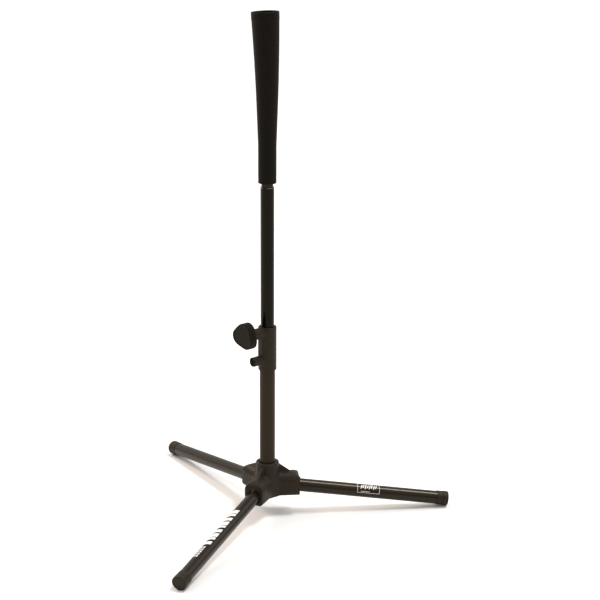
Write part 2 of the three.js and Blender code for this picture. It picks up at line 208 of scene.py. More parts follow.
def grid_quads(rows, columns, wrap_rows=False, wrap_columns=False):
    """Quads between neighbouring points of a grid whose points are counted along its columns first."""
    row = np.arange(rows if wrap_rows else rows - 1)[:, None]
    column = np.arange(columns if wrap_columns else columns - 1)[None, :]
    next_row, next_column = (row + 1) % rows, (column + 1) % columns
    corners = (
        row * columns + column,
        row * columns + next_column,
        next_row * columns + next_column,
        next_row * columns + column,
    )
    return np.stack(np.broadcast_arrays(*corners), -1).reshape(-1, 4)


def rounded(corners, closed=False, run=12.0):
    """A profile of [radius, height, edge radius] corners as many points: each corner becomes the arc that
    touches both of its sides, and each straight run gets a point close to each end and one every run mm."""
    spots = np.array([corner[:2] for corner in corners], dtype=float)
    edges = [corner[2] if len(corner) > 2 else 0.0 for corner in corners]
    count = len(spots)
    arcs = []
    for i in range(count):
        if edges[i] == 0 or (not closed and i in (0, count - 1)):
            arcs.append(spots[i : i + 1])
            continue
        back, onward = spots[i - 1] - spots[i], spots[(i + 1) % count] - spots[i]
        back, onward = back / np.hypot(*back), onward / np.hypot(*onward)
        half = math.acos(np.clip(back @ onward, -1, 1)) / 2
        middle = (back + onward) / np.hypot(*(back + onward))
        centre = spots[i] + middle * edges[i] / math.sin(half)
        first = spots[i] + back * edges[i] / math.tan(half) - centre
        last = spots[i] + onward * edges[i] / math.tan(half) - centre
        sweep = math.pi - 2 * half
        share = np.linspace(0, 1, max(3, math.ceil(sweep / math.radians(13)) + 1))[:, None]
        blend = np.sin((1 - share) * sweep) * first + np.sin(share * sweep) * last
        arcs.append(centre + blend / math.sin(sweep))
    points = [arcs[0]]
    for i in range(1, count + (1 if closed else 0)):
        start, end = arcs[i - 1][-1], arcs[i % count][0]
        length = np.hypot(*(end - start))
        if length > 1.5:
            near = 0.35 / length
            inner = np.linspace(near, 1 - near, max(2, math.ceil(length / run) + 1))[:, None]
            points.append(start + inner * (end - start))
        if i < count:
            points.append(arcs[i])
    return np.concatenate(points)


def close_with_poles(points, rows, columns, first_pole, last_pole):
    """A grid that wraps along its columns, closed by a fan of triangles from its first row to one pole and
    from its last row to the other."""
    column = np.arange(columns)
    after = (column + 1) % columns
    last = (rows - 1) * columns
    pole = np.full(columns, len(points))
    faces = grid_quads(rows, columns, wrap_columns=True).tolist()
    faces += np.stack((pole, after, column), -1).tolist()
    faces += np.stack((pole + 1, last + column, last + after), -1).tolist()
    return np.concatenate((points, [first_pole, last_pole])), faces


def turned(profile, segments=128):
    """Surface of revolution about z: at turn t and station s the point is (radius(s) cos t, radius(s) sin t,
    height(s)). A profile that starts and ends on the axis is closed by a point at each pole; any other is
    taken as a ring's closed outline, run with the piece on its left."""
    on_axis = profile[0, 0] < 1e-9
    ring = profile[1:-1] if on_axis else profile
    turn = np.linspace(0, 2 * math.pi, segments, endpoint=False)
    points = np.stack(
        (
            ring[:, 0, None] * np.cos(turn),
            ring[:, 0, None] * np.sin(turn),
            np.broadcast_to(ring[:, 1, None], (len(ring), segments)),
        ),
        -1,
    ).reshape(-1, 3)
    if on_axis:
        return close_with_poles(points, len(ring), segments, [0, 0, profile[0, 1]], [0, 0, profile[-1, 1]])
    return points, grid_quads(len(ring), segments, wrap_rows=True, wrap_columns=True).tolist()


def along_x(shape):
    """The same shape with its z axis laid along x."""
    points, faces = shape
    return points[:, [2, 0, 1]], faces


def tube(outer, inner, low, high, edge=0.35, run=12.0):
    """A tube along z: its wall's outline, with rounded corners, turned about the axis."""
    corners = [[inner, low, edge], [outer, low, edge], [outer, high, edge], [inner, high, edge]]
    return turned(rounded(corners, closed=True, run=run))


# ---- Solids given by a distance ----
def fillet(a, b, radius):
    """Union of two distances with a concave fillet: a quarter circle joins the two surfaces where both
    distances are under the radius."""
    corner = np.hypot(np.maximum(radius - a, 0), np.maximum(radius - b, 0))
    return np.maximum(radius, np.minimum(a, b)) - corner


def trim(a, b, radius):
    """What is inside both distances, with the edge between them rounded to the radius."""
    corner = np.hypot(np.maximum(radius + a, 0), np.maximum(radius + b, 0))
    return np.minimum(-radius, np.maximum(a, b)) + corner


def drill(a, tool, radius):
    """The first solid less the tool, with the mouth rounded to the radius."""
    return trim(a, -tool, radius)


def slope_of(field, points, reach=0.02):
    """The slope of a distance field at each point, from its change over a short reach along each axis."""
    steps = np.eye(3) * reach
    return np.stack([(field(points + s) - field(points - s)) / (2 * reach) for s in steps], -1)


def skin(field, low, high, step):
    """The zero surface of a distance field, inside the box from low to high: one point in each cube of the
    grid that the surface passes, at the mean of where it cuts the cube's edges, a quad round each cut edge,
    and then each point is drawn onto the surface along the field's own slope."""
    axes = [np.arange(a - 1.5 * step, b + 2.5 * step, step) for a, b in zip(low, high)]
    nodes = np.stack(np.meshgrid(*axes, indexing="ij"), -1)
    value = field(nodes.reshape(-1, 3)).reshape(nodes.shape[:3])
    solid = value < 0
    cells = tuple(n - 1 for n in value.shape)
    filled = sum(
        solid[i : i + cells[0], j : j + cells[1], k : k + cells[2]].astype(int)
        for i in (0, 1)
        for j in (0, 1)
        for k in (0, 1)
    )
    passed = (filled > 0) & (filled < 8)
    number = np.full(cells, -1)
    number[passed] = np.arange(passed.sum())
    total, hits, quads = np.zeros((passed.sum(), 3)), np.zeros(passed.sum()), []
    for axis in range(3):
        order = [axis, (axis + 1) % 3, (axis + 2) % 3]
        v, inside, index = (array.transpose(order) for array in (value, solid, number))
        i, j, k = np.nonzero((inside[:-1] != inside[1:])[:, 1:-1, 1:-1])
        j, k = j + 1, k + 1
        along = v[i, j, k] / (v[i, j, k] - v[i + 1, j, k])
        spot = np.empty((len(i), 3))
        for place, line in zip(order, (i + along, j, k)):
            spot[:, place] = axes[place][0] + line * step
        ring = ((j - 1, k - 1), (j, k - 1), (j, k), (j - 1, k))
        around = np.stack([index[i, side, level] for side, level in ring], -1)
        for corner in around.T:
            hits += np.bincount(corner, minlength=len(hits))
            for place in range(3):
                total[:, place] += np.bincount(corner, weights=spot[:, place], minlength=len(hits))
        outward = inside[i, j, k][:, None]
        quads.append(np.where(outward, around, around[:, ::-1]))
    points = total / hits[:, None]
    for _ in range(4):
        slope = slope_of(field, points)
        move = field(points)[:, None] * slope / np.maximum((slope**2).sum(-1, keepdims=True), 0.05)
        length = np.linalg.norm(move, axis=-1, keepdims=True)
        points = points - move * np.minimum(1, 0.5 * step / np.maximum(length, 1e-9))
    return points, np.concatenate(quads).tolist()


# ---- Shader writing ----
class Wire:
    """A node's output that arithmetic works on: each operator adds one Math node."""

    def __init__(self, finish, socket):
        self.finish = finish
        self.socket = socket

    def math(self, operation, *values):
        return self.finish.node("ShaderNodeMath", {"operation": operation}, dict(enumerate(values)))[0]

    def __add__(self, other):
        return self.math("ADD", self, other)

    __radd__ = __add__

    def __sub__(self, other):
        return self.math("SUBTRACT", self, other)

    def __rsub__(self, other):
        return self.math("SUBTRACT", other, self)

    def __mul__(self, other):
        return self.math("MULTIPLY", self, other)

    __rmul__ = __mul__


class Node:
    """A node whose outputs are had by name, identifier or place, as wires."""

    def __init__(self, finish, node):
        self.finish = finish
        self.node = node

    def __getitem__(self, key):
        return Wire(self.finish, find_socket(self.node.outputs, key))


def find_socket(sockets, key):
    if isinstance(key, int):
        return sockets[key]
    return next(s for s in sockets if key in (s.identifier, s.name))


class Finish:
    """A material written as expressions."""

    def __init__(self, name):
        self.material = bpy.data.materials.new(name)
        self.material.use_nodes = True
        self.tree = self.material.node_tree
        self.tree.nodes.clear()
        self.place = self.node("ShaderNodeTexCoord", {}, {})["Object"]

    def node(self, kind, settings, sockets):
        """Adds a node: its settings come first, then the values or wires of its sockets. The setting
        stops gives a colour ramp its places and colours."""
        made = self.tree.nodes.new(kind)
        for key, setting in settings.items():
            if key == "stops":
                ramp = made.color_ramp
                while len(ramp.elements) < len(setting):
                    ramp.elements.new(0.5)
                for element, (place, colour) in zip(ramp.elements, setting):
                    element.position = place
                    element.color = colour
            else:
                setattr(made, key, setting)
        for key, value in sockets.items():
            socket = find_socket(made.inputs, key)
            if isinstance(value, Wire):
                self.tree.links.new(value.socket, socket)
            else:
                socket.default_value = value
        return Node(self, made)

    def grain(self, scale, detail=2.0, roughness=0.5, place=None):
        """Noise from 0 to 1 with about scale bumps to the metre."""
        sockets = {"Vector": place or self.place, "Scale": scale, "Detail": detail, "Roughness": roughness}
        return self.node("ShaderNodeTexNoise", {}, sockets)["Fac"]

    def stretched(self, scale):
        """Object coordinates with each axis multiplied."""
        return self.node("ShaderNodeMapping", {}, {"Vector": self.place, "Scale": scale})["Vector"]

    def height(self):
        return self.node("ShaderNodeSeparateXYZ", {}, {"Vector": self.place})["Z"]

    def ramp(self, value, low, high):
        """0 below low, 1 above high, and a straight line between."""
        settings = {"clamp": True}
        sockets = {"Value": value, "From Min": low, "From Max": high, "To Min": 0.0, "To Max": 1.0}
        return self.node("ShaderNodeMapRange", settings, sockets)["Result"]

    def mix(self, factor, first, second):
        sockets = {"Factor_Float": factor, "A_Color": first, "B_Color": second}
        return self.node("ShaderNodeMix", {"data_type": "RGBA"}, sockets)["Result_Color"]

    def bump(self, height, strength, depth):
        sockets = {"Height": height, "Strength": strength, "Distance": depth}
        return self.node("ShaderNodeBump", {}, sockets)["Normal"]

    def shade(self, sockets):
        surface = self.node("ShaderNodeBsdfPrincipled", {}, sockets)["BSDF"]
        self.node("ShaderNodeOutputMaterial", {}, {"Surface": surface})
        return self.material


def grey(value, warm=0.0):
    """A linear colour with its red a little over and its blue a little under its green."""
    return (value * (1 + warm), value, value * (1 - warm), 1.0)


# Painted reflection colour: the reflections of the plastics, paints and rubbers are tinted warm, standing in
# for the warm colour of the light they reflect.
PAINTED_WARM_REFLECTION = (1.0, 0.86, 0.66, 1.0)


def moulded_plastic(name, tone, warm, roughness, shine):
    """Plastic with the fine grain of its mould, slightly cloudy, and paler where it has been rubbed."""
    finish = Finish(name)
    cloud = finish.grain(28.0, 3.0)
    spark = finish.grain(2600.0, 2.0)
    rub = finish.ramp(finish.grain(60.0, 4.0, 0.62), 0.55, 0.78)
    base = finish.mix(cloud, grey(tone * 0.85, warm), grey(tone * 1.15, warm))
    return finish.shade(
        {
            "Base Color": finish.mix(rub * 0.35, base, grey(tone * 1.9, warm)),
            "Roughness": roughness + 0.10 * (cloud - 0.5) + 0.08 * rub,
            "Specular IOR Level": shine,
            "Specular Tint": PAINTED_WARM_REFLECTION,
            "Normal": finish.bump(spark + 0.5 * finish.grain(900.0, 2.0), 0.35, 0.00005),
        }
    )


def tube_coat(name, tone, warm, roughness, shine, draw):
    """Baked paint on drawn tube: a slight orange peel and faint lines along the tube, whose axis draw gives
    as the pattern's scale on each axis."""
    finish = Finish(name)
    lines = finish.grain(1.0, 3.0, 0.6, finish.stretched(draw))
    peel = finish.grain(420.0, 2.0)
    cloud = finish.grain(22.0, 3.0)
    scuff = finish.ramp(finish.grain(150.0, 5.0, 0.7), 0.66, 0.8)
    base = finish.mix(cloud, grey(tone * 0.85, warm), grey(tone * 1.15, warm))
    return finish.shade(
        {
            "Base Color": finish.mix(scuff * 0.25, base, grey(tone * 2.2, warm)),
            "Roughness": roughness + 0.10 * (lines - 0.5) + 0.06 * (cloud - 0.5) + 0.10 * scuff,
            "Specular IOR Level": shine,
            "Specular Tint": PAINTED_WARM_REFLECTION,
            "Normal": finish.bump(peel * 0.7 + lines * 0.3, 0.12, 0.0001),
        }
    )


def rubber(name, tone, warm, roughness, shine, grain_scale=1500.0):
    """Matt rubber with a fine grain and a little dust."""
    finish = Finish(name)
    cloud = finish.grain(35.0, 4.0, 0.6)
    fine = finish.grain(grain_scale, 3.0, 0.6)
    dust = finish.ramp(finish.grain(90.0, 5.0, 0.65), 0.52, 0.80)
    base = finish.mix(cloud, grey(tone * 0.85, warm), grey(tone * 1.2, warm))
    return finish.shade(
        {
            "Base Color": finish.mix(dust * 0.30, base, grey(tone * 2.0 + 0.004, warm)),
            "Roughness": roughness + 0.12 * (cloud - 0.5) + 0.06 * dust,
            "Specular IOR Level": shine,
            "Specular Tint": PAINTED_WARM_REFLECTION,
            "Normal": finish.bump(fine + 0.6 * cloud, 0.3, 0.00012),
        }
    )


def plain_metal(name, colour, roughness):
    """Bare metal with fine scratches that run along z."""
    finish = Finish(name)
    scratch = finish.grain(1.0, 4.0, 0.6, finish.stretched((900.0, 900.0, 60.0)))
    cloud = finish.grain(180.0, 3.0)
    darker = tuple(0.8 * part for part in colour[:3]) + (1.0,)
    return finish.shade(
        {
            "Base Color": finish.mix(cloud, darker, colour),
            "Roughness": roughness + 0.16 * (scratch - 0.5),
            "Metallic": 1.0,
            "Normal": finish.bump(scratch, 0.15, 0.00005),
        }
    )


def gloss_tube_finish():
    """Gloss paint over the upper tube, with the bare steel showing on the sawn top end."""
    finish = Finish("gloss_tube")
    top = (CROSSING[2] + MAST_TOP) * MM
    ragged = finish.height() + 0.0009 * (finish.grain(500.0, 2.0) - 0.5)
    edge = finish.ramp(ragged, top - 0.0010, top - 0.0006)
    cut = edge * finish.ramp(finish.grain(95.0, 2.0), 0.50, 0.60)
    lines = finish.grain(1.0, 3.0, 0.6, finish.stretched((700.0, 700.0, 12.0)))
    cloud = finish.grain(20.0, 3.0)
    rub = finish.ramp(finish.grain(1.0, 4.0, 0.65, finish.stretched((260.0, 260.0, 18.0))), 0.60, 0.78)
    paint = finish.mix(cloud, grey(0.0020, 0.15), grey(0.0035, 0.15))
    worn = finish.mix(rub * 0.35, paint, grey(0.016, 0.10))
    return finish.shade(
        {
            "Base Color": finish.mix(cut, worn, (0.30, 0.29, 0.27, 1.0)),
            "Roughness": 0.20 + 0.08 * (lines - 0.5) + 0.14 * rub + 0.12 * cut,
            "Metallic": cut,
            "Specular IOR Level": 0.13,
            "Specular Tint": PAINTED_WARM_REFLECTION,
            "Normal": finish.bump(lines, 0.08, 0.00008),
        }
    )


def print_ink():
    """White ink with worn specks."""
    finish = Finish("print_ink")
    speck = finish.ramp(finish.grain(900.0, 4.0, 0.7), 0.60, 0.74)
    return finish.shade(
        {
            "Base Color": finish.mix(speck * 0.5, grey(0.80, 0.01), grey(0.35, 0.04)),
            "Roughness": 0.42 + 0.1 * speck,
            "Normal": finish.bump(finish.grain(1800.0, 2.0), 0.1, 0.00003),
        }
    )


def nylon():
    finish = Finish("nylon")
    cloud = finish.grain(120.0, 3.0)
    return finish.shade(
        {
            "Base Color": finish.mix(cloud, grey(0.62, 0.03), grey(0.72, 0.05)),
            "Roughness": 0.5 + 0.1 * (cloud - 0.5),
            "Normal": finish.bump(finish.grain(2000.0), 0.1, 0.00005),
        }
    )


HUB_PLASTIC = moulded_plastic("hub_plastic", 0.018, 0.24, 0.42, 0.12)
COLLAR_PLASTIC = moulded_plastic("collar_plastic", 0.020, 0.24, 0.40, 0.10)
KNOB_PLASTIC = moulded_plastic("knob_plastic", 0.008, 0.24, 0.45, 0.06)
POST_COAT = tube_coat("post_coat", 0.022, 0.30, 0.34, 0.09, (500.0, 500.0, 10.0))
LEG_COAT = tube_coat("leg_coat", 0.011, 0.24, 0.22, 0.24, (260.0, 260.0, 260.0))
GLOSS_TUBE = gloss_tube_finish()
CONE_RUBBER = rubber("cone_rubber", 0.0048, 0.12, 0.60, 0.09)
CAP_RUBBER = rubber("cap_rubber", 0.011, 0.16, 0.50, 0.22, 1100.0)
NYLON = nylon()
ZINC = plain_metal("zinc", (0.50, 0.51, 0.53, 1.0), 0.32)
BRASS = plain_metal("brass", (0.55, 0.38, 0.15, 1.0), 0.30)
BLACK_SCREW = moulded_plastic("black_screw", 0.003, 0.0, 0.50, 0.06)
PRINT_INK = print_ink()


def add(name, shape, frame_axes, material, body, slot, *nodes):
    """Sets a shape down, rides it on its body and lets it stand for the part's own nodes."""
    piece = new_piece(name, *shape, frame_axes, material)
    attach(piece, body)
    if nodes:
        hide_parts(*nodes)


# ---- Hub ----
def arm_distance(x, y, z):
    """A bar along x with upright sides, an arched roof and a flat belly with rounded corners. Its top
    rounds down, as a quarter of an ellipse, to its flat end."""
    roof = np.hypot(y, np.maximum(z + ARM_ROOF - ARM_CREST, 0)) - ARM_ROOF
    section = trim(trim(np.abs(y) - ARM_HALF_WIDTH, roof, 1.5), ARM_FOOT - z, ARM_FOOT_EDGE)
    squeeze = NOSE_HEIGHT / NOSE_LENGTH
    ahead = np.maximum(x - (ARM_END - NOSE_LENGTH), 0) * squeeze
    nose = np.hypot(ahead, np.maximum(z - NOSE_FOOT, 0)) - NOSE_HEIGHT
    return trim(trim(section, nose, 1.0), -x, 0.5)


def hub_distance(points):
    """Three arms, worked out as the nearest arm and the next one, joined by a web and a boss for the post."""
    x, y, z = points.T
    away = np.hypot(x, y)
    heading = np.arctan2(y, x)
    off = heading - np.round(heading / LEG_TURN) * LEG_TURN
    near_x, near_y = away * np.cos(off), away * np.abs(np.sin(off))
    other = np.abs(off) - LEG_TURN
    other_x, other_y = away * np.cos(other), away * np.sin(other)

    draft = np.clip((z - BOSS_DRAFT_FROM) / (BOSS_TOP - BOSS_DRAFT_FROM), 0, 1) * BOSS_DRAFT
    boss = trim(trim(away - BOSS_RADIUS + draft, z - BOSS_TOP, 1.5), ARM_FOOT - z, 0.6)
    arms = fillet(arm_distance(near_x, near_y, z), arm_distance(other_x, other_y, z), 2.0)
    between = fillet(near_y - ARM_HALF_WIDTH, np.abs(other_y) - ARM_HALF_WIDTH, WEB_FILLET)
    walls = np.maximum(between, near_x - WEB_END)
    web_top = WEB_TOP + WEB_RISE * np.maximum(WEB_RISE_FROM - away, 0)
    web = trim(trim(walls, (z - web_top) * WEB_LEVEL, 2.2), WEB_FOOT - z, 2.0)
    body = fillet(fillet(arms, web, 2.0), boss, BOSS_FILLET)
    ahead, above = near_x - RIB_POINT[0], z - RIB_POINT[1]
    fall = (ahead * RIB_DROP + above * RIB_RUN) / math.hypot(RIB_DROP, RIB_RUN)
    rib = trim(trim(near_y - RIB_HALF_WIDTH, fall, 0.8), np.maximum(RIB_START - near_x, -z), 0.3)
    body = fillet(body, rib, 1.2)

    body = drill(body, np.maximum(away - TUBE_BORE, TUBE_SEAT - 0.3 - z), 0.7)
    down, up = math.sin(LEG_SLOPE), math.cos(LEG_SLOPE)
    along = near_x * up - z * down
    rise = near_x * down + z * up
    body = drill(body, np.maximum(np.hypot(near_y, rise) - LEG_BORE, SOCKET_START - along), 0.6)
    body = drill(body, np.maximum(away - POCKET_RADIUS, z - POCKET_ROOF), 0.4)
    return drill(body, np.maximum(away - BOLT_BORE, z), 0.2)


hub_shape = skin(hub_distance, (-42, -56, -23.5), (55, 56, 38.5), 0.9)
add("hub_moulding", hub_shape, POST, HUB_PLASTIC, "base", "hub_plastic", "hub")


# ---- Height collar ----
def boss_distance(x, y, z, height, radius):
    """A round bar along x, at a height, from the post axis to the bosses' common end."""
    half = CLAMP_BOSS_END / 2
    return trim(np.hypot(y, z - height) - radius, np.abs(x - half) - half, 0.9)


def collar_distance(points):
    """A sleeve with a boss for the clamp and one for the screw, a spine between them, and their bores."""
    x, y, z = points.T
    away = np.hypot(x, y)
    sleeve = trim(trim(away - COLLAR_RADIUS, z - COLLAR_TOP, 1.3), COLLAR_BOTTOM - z, 0.6)
    upper = boss_distance(x, y, z, UPPER_BOSS_HEIGHT, UPPER_BOSS)
    lower = boss_distance(x, y, z, SCREW_HEIGHT, LOWER_BOSS)
    bar = np.maximum(np.abs(y) - SPINE_HALF_WIDTH, x - SPINE_REACH)
    spine = trim(np.maximum(bar, np.maximum(z - CLAMP_HEIGHT, SCREW_HEIGHT - z)), -x, 0.5)
    body = fillet(fillet(sleeve, np.minimum(upper, lower), 3.0), spine, 0.6)
    body = drill(body, np.maximum(away - TUBE_BORE, z - COLLAR_SHOULDER), 0.4)
    body = drill(body, away - COLLAR_BORE, 0.7)
    across = np.hypot(y, z - CLAMP_HEIGHT)
    body = drill(body, np.maximum(across - STUD_BORE, -x), 0.2)
    body = drill(body, np.maximum(across - INSERT_BORE, CLAMP_BOSS_END - INSERT_DEPTH - x), 0.3)
    beside = np.hypot(y, z - SCREW_HEIGHT)
    body = drill(body, np.maximum(beside - SCREW_BORE, -x), 0.2)
    return drill(body, np.maximum(beside - SCREW_POCKET, CLAMP_BOSS_END - SCREW_POCKET_DEPTH - x), 0.5)


collar_shape = skin(collar_distance, (-15.3, -15.3, COLLAR_BOTTOM), (CLAMP_BOSS_END, 15.3, COLLAR_TOP), 0.6)
add("collar_moulding", collar_shape, CLAMP, COLLAR_PLASTIC, "base", "hub_plastic", "height_collar")


def screw_distance(points):
    """A pan head on a plain shank, with a crossed recess."""
    x, y, z = points.T
    away = np.hypot(y, z)
    head = trim(trim(away - SCREW_HEAD, x - SCREW_HEAD_FRONT, 0.9), SCREW_HEAD_BACK - x, 0.2)
    shank = trim(away - SCREW_SHANK, SCREW_START - x, 0.3)
    body = np.minimum(head, np.maximum(shank, x - SCREW_SHANK_END))
    narrow, wide = np.minimum(np.abs(y), np.abs(z)), np.maximum(np.abs(y), np.abs(z))
    cross = np.maximum(narrow - RECESS_HALF_WIDTH, wide - RECESS_REACH)
    return drill(body, np.maximum(cross, RECESS_FLOOR - x), 0.12)


screw_points, screw_faces = skin(screw_distance, (11.5, -5.1, -5.1), (31.5, 5.1, 5.1), 0.3)
screw_shape = (screw_points + [0, 0, SCREW_HEIGHT], screw_faces)
add("collar_screw_head", screw_shape, CLAMP, BLACK_SCREW, "base", "black_screw", "collar_screw")


# ---- Clamp knob and stud ----
def knob_shape():
    """A turned profile whose radius swells at three corners: at turn t and station s the distance from the
    axis is radius(s) * (1 + swell(s) * cos 3t), where swell is full on the disc and none on the neck. The
    disc is then spread in y, which makes it a little wider than it is tall."""
    profile = rounded(
        [
            [KNOB_HOLE, KNOB_NECK_END, 0.2],
            [KNOB_NECK, KNOB_NECK_END, 0.5],
            [KNOB_NECK, KNOB_BACK, 0.9],
            [KNOB_RADIUS, KNOB_BACK, 1.3],
            [KNOB_RADIUS, KNOB_FRONT, 1.1],
            [KNOB_RADIUS - KNOB_LIP, KNOB_FRONT, 0.5],
            [KNOB_RADIUS - KNOB_LIP - 0.6, KNOB_FRONT - KNOB_DISH, 0.5],
            [0.0, KNOB_FRONT - KNOB_DISH],
        ],
        run=2.5,
    )
    hole = np.array([[0.0, KNOB_HOLE_END], [KNOB_HOLE, KNOB_HOLE_END], [KNOB_HOLE, KNOB_HOLE_START]])
    profile = np.concatenate((hole, profile))
    radius, height = profile[1:-1].T
    turn = np.linspace(0, 2 * math.pi, KNOB_SEGMENTS, endpoint=False)
    disc = np.clip((radius - LOBE_START) / LOBE_RUN, 0, 1)[:, None]
    reach = radius[:, None] * (1 + disc * KNOB_LOBE / KNOB_RADIUS * np.cos(3 * turn))
    spread = 1 + disc * (KNOB_SPREAD - 1)
    points = np.stack(
        (
            np.broadcast_to(height[:, None], reach.shape),
            reach * spread * np.cos(turn + KNOB_TURN),
            reach * np.sin(turn + KNOB_TURN),
        ),
        -1,
    ).reshape(-1, 3)
    back, front = [profile[0, 1], 0, 0], [profile[-1, 1], 0, 0]
    points, faces = close_with_poles(points, len(radius), KNOB_SEGMENTS, back, front)
    return points + [0, 0, CLAMP_HEIGHT], faces


add("knob_moulding", knob_shape(), CLAMP, KNOB_PLASTIC, "knob", "knob_plastic", "clamp_knob")


def stud_shape():
    """A right-hand thread of 1 mm pitch: the radius dips once in each pitch of x less turn / full turn."""
    x = np.linspace(STUD_START, STUD_END, 350)
    turn = np.linspace(0, 2 * math.pi, STUD_SEGMENTS, endpoint=False)
    phase = np.mod(x[:, None] - turn / (2 * math.pi), 1.0)
    ends = np.clip(np.minimum(x - x[0], x[-1] - x) / STUD_CHAMFER, 0, 1)[:, None]
    radius = (STUD_RADIUS - THREAD_DEPTH * np.abs(2 * phase - 1)) * (0.8 + 0.2 * ends)
    points = np.stack(
        (np.broadcast_to(x[:, None], radius.shape), radius * np.cos(turn), radius * np.sin(turn)), -1
    ).reshape(-1, 3)
    points, faces = close_with_poles(points, len(x), STUD_SEGMENTS, [x[0], 0, 0], [x[-1], 0, 0])
    return points + [0, 0, CLAMP_HEIGHT], faces


add("threaded_stud", stud_shape(), CLAMP, ZINC, "knob", "zinc", "clamp_stud")

insert = tube(INSERT_RADIUS, INSERT_INNER, INSERT_START, CLAMP_BOSS_END, 0.3, 2.0)
insert_points, insert_faces = along_x(insert)
insert_shape = (insert_points + [0, 0, CLAMP_HEIGHT], insert_faces)
add("brass_insert", insert_shape, CLAMP, BRASS, "base", "brass", "clamp_insert")

# ---- Tubes ----
post = tube(POST_RADIUS, POST_INNER, TUBE_SEAT, POST_TOP)
add("post_tube", post, POST, POST_COAT, "base", "satin_tube", "lower_tube")
mast = tube(MAST_RADIUS, MAST_INNER, MAST_BOTTOM, MAST_TOP, 0.45)
add("mast_tube", mast, POST, GLOSS_TUBE, "mast", "gloss_tube", "upper_tube")
stem = tube(STEM_RADIUS, STEM_INNER, STEM_BOTTOM, STEM_TOP)
add("stem_tube", stem, POST, POST_COAT, "topper", "satin_tube", "cone_stem")


# ---- Ball cone ----
def bowed(points):
    """Bends a shape about the post axis: the axis goes sideways with the square of the height over
    LEAN_START, and each level stays square to the bent axis."""
    over = np.maximum(points[:, 2] - LEAN_START, 0) / LEAN_SPAN
    shift = CONE_LEAN * over**2
    tilt = np.arctan(2 * CONE_LEAN * over / LEAN_SPAN)
    ahead = np.array([math.cos(LEAN_HEADING), math.sin(LEAN_HEADING), 0.0])
    reach = points @ ahead
    bent = points + ahead * (shift + reach * (np.cos(tilt) - 1))[:, None]
    bent[:, 2] -= reach * np.sin(tilt)
    return bent


def cone_shape():
    """A hollow sleeve that widens upwards to a short cup for the ball, turned and then bowed."""
    profile = rounded(
        [
            [9.8, 517.0, 0.4],
            [14.7, 517.0, 1.0],
            [14.7, 579.0, 60.0],
            [21.8, 773.0, 0.5],
            [22.15, 774.2, 0.4],
            [22.15, 786.0, 0.9],
            [18.55, 786.0, 0.9],
            [18.2, 774.0, 4.0],
            [11.1, 579.0, 10.0],
            [11.1, 575.3, 0.3],
            [9.8, 575.3, 0.3],
        ],
        closed=True,
        run=5.0,
    )
    points, faces = turned(profile, 160)
    return bowed(points), faces


add("cone_sleeve", cone_shape(), POST, CONE_RUBBER, "topper", "cone_rubber", "ball_cone")


# ---- Legs ----
def cap_shape():
    """A cap turned about the leg: a closed end over the tube, a plain rim, a groove and a wider end."""
    profile = rounded(
        [
            [0.0, 311.0],
            [11.3, 311.0, 0.3],
            [11.3, 294.3, 0.3],
            [11.95, 294.3, 0.4],
            [11.95, 303.9, 0.2],
            [11.5, 304.5, 0.2],
            [12.3, 305.2, 0.25],
            [12.3, 314.6, 1.6],
            [0.0, 314.6],
        ],
        run=2.5,
    )
    return along_x(turned(profile))


def printed_bars(bars, lift=0.09, sunk=0.06):
    """Ink on a leg: each bar is a closed slab that wraps the tube. At place u along it and v across it,
    the distance along the leg is start + u * width + v * slant and the turn goes from one angle to the
    other with v, counted from the leg's upper side."""
    u, v = np.meshgrid(np.linspace(0, 1, 9), np.linspace(0, 1, 13), indexing="ij")
    count = u.size
    sheet = grid_quads(*u.shape)
    order = np.arange(count).reshape(u.shape)
    rim = np.concatenate((order[:, 0], order[-1, 1:], order[-2::-1, -1], order[0, -2:0:-1]))
    wall = np.stack((rim, np.roll(rim, -1), np.roll(rim, -1) + count, rim + count), -1)
    points, faces = [], []
    for start, width, slant, turn_from, turn_to in bars:
        x = start + u * width + v * slant
        turn = np.radians(turn_from + v * (turn_to - turn_from))
        base = sum(len(block) for block in points)
        for r in (LEG_RADIUS + lift, LEG_RADIUS - sunk):
            points.append(np.stack((x, r * np.sin(turn), r * np.cos(turn)), -1).reshape(-1, 3))
        faces += (sheet[:, ::-1] + base).tolist() + (sheet + count + base).tolist() + (wall + base).tolist()
    return np.concatenate(points), faces


# Slanted stripes of three widths on the leg that points forward, with two rows of short dashes after them.
STRIPES = [(116.5 + 12.0 * i, (10.2, 6.2, 8.4)[i % 3], -4.0, -43.0, 22.0) for i in range(9)]
DASHES = [(226.0 + 6.2 * i, 4.8, -0.8, turn, turn + 12.0) for turn in (-29.0, -9.0) for i in range(5)]
# An outlined plate on leg 1, with a row of slanted blocks and two rules inside.
PLATE = [
    (154.0, 0.65, 0.0, -87.0, 12.0),
    (192.0, 0.65, 0.0, -87.0, 12.0),
    (154.8, 37.1, 0.0, -87.0, -84.2),
    (154.8, 37.1, 0.0, 9.2, 12.0),
    (160.0, 16.0, 0.0, -75.5, -72.5),
]
BLOCKS = [(159.0 + 3.6 * i, 1.9, 2.4, -50.0 + 6.0 * (i % 2), -12.0 + 5.0 * (i % 3)) for i in range(8)]

leg_shape = along_x(tube(LEG_RADIUS, LEG_INNER, LEG_START, LEG_END))
for number in (1, 2, 3):
    axes, body = leg_frame(number), f"leg_{number}"
    add(f"leg_{number}_tube", leg_shape, axes, LEG_COAT, body, "satin_tube", f"leg_tube_{number}")
    add(f"leg_{number}_cap", cap_shape(), axes, CAP_RUBBER, body, "cap_rubber", f"foot_cap_{number}")
add("leg_3_print", printed_bars(STRIPES + DASHES), leg_frame(3), PRINT_INK, "leg_3", "satin_tube")
add("leg_1_print", printed_bars(PLATE + BLOCKS), leg_frame(1), PRINT_INK, "leg_1", "satin_tube")

